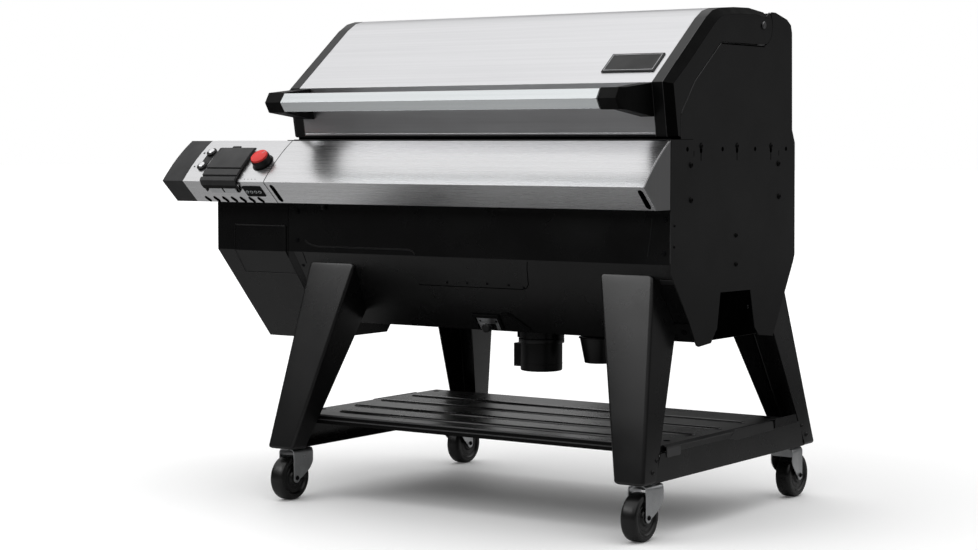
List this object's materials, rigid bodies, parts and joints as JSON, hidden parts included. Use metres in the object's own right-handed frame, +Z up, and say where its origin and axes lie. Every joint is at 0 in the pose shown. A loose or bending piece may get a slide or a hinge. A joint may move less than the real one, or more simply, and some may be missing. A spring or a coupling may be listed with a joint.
{
  "type": "pellet smoker grill",
  "caption": "Wood-pellet smoker grill on a splayed-leg cart with casters, a hinged lid with a bar handle, a side pellet hopper and a sloped control shelf.",
  "frame": {"origin": "on the floor, under the middle of the bounding box", "axes": "+X to the grill's right as seen from the front, along the chamber; -Y to the front; +Z up"},
  "size_m": [1.4938, 0.952, 1.265],
  "materials": {
    "powder_coat": "satin black powder coat",
    "brushed_steel": "brushed",
    "dark_plastic": "satin",
    "zinc": "zinc plated",
    "red_knob": "semi-gloss",
    "silver_button": "metallised",
    "wheel_rubber": "matte",
    "raw_steel": "bare, heat stained",
    "black_enamel": "glossy enamel"
  },
  "bodies": {
    "grill_body": {"ash_collar": "powder_coat", "auger_tube": "raw_steel", "chamber_tub": "powder_coat", "control_panel": "brushed_steel", "fan_housing": "dark_plastic", "fire_pot": "raw_steel", "front_shelf": "brushed_steel", "gear_motor": "zinc", "grease_spout": "zinc", "hinge_bracket_left": "zinc", "hinge_bracket_right": "zinc", "hopper_shell": "powder_coat", "igniter_rod": "zinc", "leg_front_left": "powder_coat", "leg_front_right": "powder_coat", "leg_rear_left": "powder_coat", "leg_rear_right": "powder_coat", "lower_shelf": "powder_coat", "pellet_bin": "zinc", "power_inlet": "dark_plastic", "rear_housing": "powder_coat", "shelf_end_cap": "dark_plastic", "shelf_end_plate": "brushed_steel", "side_panel_left": "powder_coat", "side_panel_right": "powder_coat", "side_rail_left": "powder_coat", "side_rail_right": "powder_coat"},
    "lid": {"lid_skin": "brushed_steel", "lid_end_left": "powder_coat", "lid_end_right": "powder_coat", "handle_bar": "brushed_steel", "handle_bracket_left": "dark_plastic", "handle_bracket_right": "dark_plastic", "lid_badge": "dark_plastic"},
    "display_cover": {"display_cover": "dark_plastic"},
    "control_knob": {"control_knob": "red_knob"},
    "button_upper": {"button_upper": "silver_button"},
    "button_lower": {"button_lower": "silver_button"},
    "hopper_lid": {"hopper_lid": "powder_coat"},
    "cleanout_door": {"cleanout_door": "powder_coat"},
    "auger": {"auger": "zinc"},
    "fan_wheel": {"fan_wheel": "dark_plastic"},
    "ash_pull": {"ash_gate": "raw_steel", "ash_pull_knob": "dark_plastic"},
    "ash_cup": {"ash_cup": "powder_coat"},
    "grease_cup": {"grease_cup": "zinc"},
    "drip_tray": {"drip_tray": "black_enamel"},
    "grate_left": {"grate_left": "black_enamel"},
    "grate_right": {"grate_right": "black_enamel"},
    "upper_rack": {"upper_rack": "zinc"},
    "heat_deflector": {"heat_deflector": "raw_steel"},
    "caster_fork_front_left": {"caster_fork_front_left": "zinc"},
    "caster_wheel_front_left": {"caster_wheel_front_left": "wheel_rubber"},
    "caster_fork_rear_left": {"caster_fork_rear_left": "zinc"},
    "caster_wheel_rear_left": {"caster_wheel_rear_left": "wheel_rubber"},
    "caster_fork_front_right": {"caster_fork_front_right": "zinc"},
    "caster_wheel_front_right": {"caster_wheel_front_right": "wheel_rubber"},
    "caster_fork_rear_right": {"caster_fork_rear_right": "zinc"},
    "caster_wheel_rear_right": {"caster_wheel_rear_right": "wheel_rubber"}
  },
  "joints": [
    {"name": "lid_hinge", "type": "hinge", "parent": "grill_body", "child": "lid", "pos_m": [0.1641, 0.139, 1.223], "axis": [-1, 0, 0], "range_deg": [0, 80]},
    {"name": "display_cover_hinge", "type": "hinge", "parent": "grill_body", "child": "display_cover", "pos_m": [-0.5459, -0.36226, 0.92095], "axis": [-1, 0, 0], "range_deg": [0, 100]},
    {"name": "knob_turn", "type": "hinge", "parent": "grill_body", "child": "control_knob", "pos_m": [-0.4339, -0.39506, 0.87969], "axis": [0, -0.6663, 0.7457], "continuous": true},
    {"name": "button_upper_press", "type": "slide", "parent": "grill_body", "child": "button_upper", "axis": [0, 0.6663, -0.7457], "range_m": [0, 0.002], "stiffness_N_per_m": 150, "springref_m": -0.002},
    {"name": "button_lower_press", "type": "slide", "parent": "grill_body", "child": "button_lower", "axis": [0, 0.6663, -0.7457], "range_m": [0, 0.002], "stiffness_N_per_m": 150, "springref_m": -0.002},
    {"name": "hopper_lid_hinge", "type": "hinge", "parent": "grill_body", "child": "hopper_lid", "pos_m": [-0.5359, 0.315, 0.9365], "axis": [-1, 0, 0], "range_deg": [0, 95]},
    {"name": "cleanout_door_hinge", "type": "hinge", "parent": "grill_body", "child": "cleanout_door", "pos_m": [-0.5084, -0.321, 0.713], "axis": [-1, 0, 0], "range_deg": [0, 80]},
    {"name": "auger_turn", "type": "hinge", "parent": "grill_body", "child": "auger", "pos_m": [-0.4909, 0.017, 0.52], "axis": [1, 0, 0], "continuous": true},
    {"name": "fan_spin", "type": "hinge", "parent": "grill_body", "child": "fan_wheel", "pos_m": [-0.5259, 0.217, 0.66], "axis": [1, 0, 0], "continuous": true},
    {"name": "ash_gate_pull", "type": "slide", "parent": "grill_body", "child": "ash_pull", "axis": [0, -1, 0], "range_m": [0, 0.05]},
    {"name": "ash_cup_drop", "type": "slide", "parent": "grill_body", "child": "ash_cup", "axis": [0, 0, -1], "range_m": [0, 0.1]},
    {"name": "grease_cup_drop", "type": "slide", "parent": "grill_body", "child": "grease_cup", "axis": [0, 0, -1], "range_m": [0, 0.1]},
    {"name": "drip_tray_lift", "type": "slide", "parent": "grill_body", "child": "drip_tray", "axis": [0, 0, 1], "range_m": [0, 0.09]},
    {"name": "grate_left_lift", "type": "slide", "parent": "grill_body", "child": "grate_left", "axis": [0, 0, 1], "range_m": [0, 0.14]},
    {"name": "grate_right_lift", "type": "slide", "parent": "grill_body", "child": "grate_right", "axis": [0, 0, 1], "range_m": [0, 0.14]},
    {"name": "upper_rack_slide", "type": "slide", "parent": "grill_body", "child": "upper_rack", "axis": [0, -1, 0], "range_m": [0, 0.12]},
    {"name": "heat_deflector_lift", "type": "slide", "parent": "grill_body", "child": "heat_deflector", "axis": [0, 0, 1], "range_m": [0, 0.06]},
    {"name": "caster_swivel_front_left", "type": "hinge", "parent": "grill_body", "child": "caster_fork_front_left", "pos_m": [-0.3659, -0.341, 0.134], "axis": [0, 0, 1], "continuous": true},
    {"name": "caster_roll_front_left", "type": "hinge", "parent": "caster_fork_front_left", "child": "caster_wheel_front_left", "pos_m": [-0.3659, -0.375, 0.058], "axis": [1, 0, 0], "continuous": true},
    {"name": "caster_swivel_rear_left", "type": "hinge", "parent": "grill_body", "child": "caster_fork_rear_left", "pos_m": [-0.3659, 0.379, 0.134], "axis": [0, 0, 1], "continuous": true},
    {"name": "caster_roll_rear_left", "type": "hinge", "parent": "caster_fork_rear_left", "child": "caster_wheel_rear_left", "pos_m": [-0.3659, 0.413, 0.058], "axis": [1, 0, 0], "continuous": true},
    {"name": "caster_swivel_front_right", "type": "hinge", "parent": "grill_body", "child": "caster_fork_front_right", "pos_m": [0.6941, -0.341, 0.134], "axis": [0, 0, 1], "continuous": true},
    {"name": "caster_roll_front_right", "type": "hinge", "parent": "caster_fork_front_right", "child": "caster_wheel_front_right", "pos_m": [0.6941, -0.375, 0.058], "axis": [1, 0, 0], "continuous": true},
    {"name": "caster_swivel_rear_right", "type": "hinge", "parent": "grill_body", "child": "caster_fork_rear_right", "pos_m": [0.6941, 0.379, 0.134], "axis": [0, 0, 1], "continuous": true},
    {"name": "caster_roll_rear_right", "type": "hinge", "parent": "caster_fork_rear_right", "child": "caster_wheel_rear_right", "pos_m": [0.6941, 0.413, 0.058], "axis": [1, 0, 0], "continuous": true}
  ]
}
